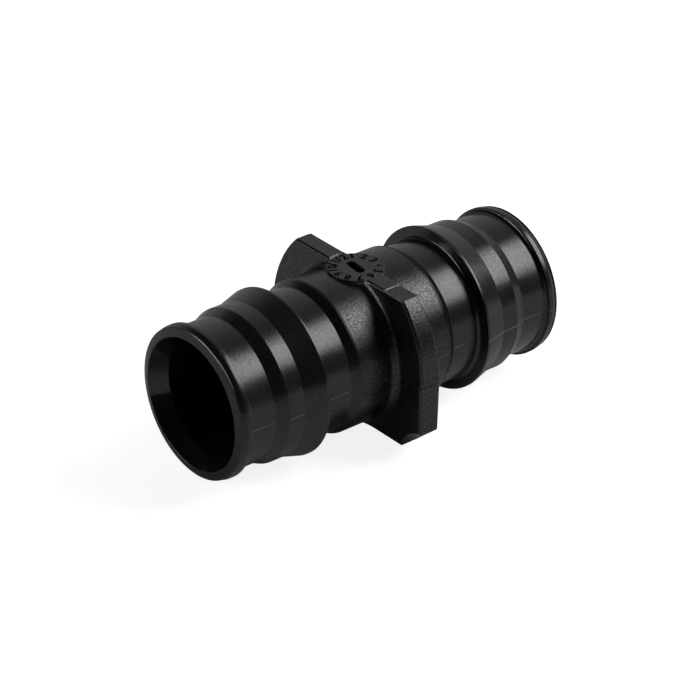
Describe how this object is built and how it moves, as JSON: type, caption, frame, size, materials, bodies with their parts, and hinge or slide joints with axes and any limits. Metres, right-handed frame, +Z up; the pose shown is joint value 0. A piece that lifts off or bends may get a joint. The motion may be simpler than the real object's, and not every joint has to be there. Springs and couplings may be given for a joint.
{
  "type": "pex expansion coupling",
  "caption": "Straight moulded coupling with a through bore, ribbed spigots that expanded pipe shrinks onto, and a middle stop flange.",
  "frame": {"origin": "on the bore's axis, halfway between the two end faces", "axes": "+X along the bore, +Z up through the flange's flat top, +Y along the flange's width"},
  "size_m": [0.0642, 0.0364, 0.0272],
  "materials": {
    "black_polymer": "black engineering polymer, satin on the spigots, fine grained on the body and flange"
  },
  "bodies": {
    "root": {"coupling": "black_polymer"}
  },
  "joints": []
}
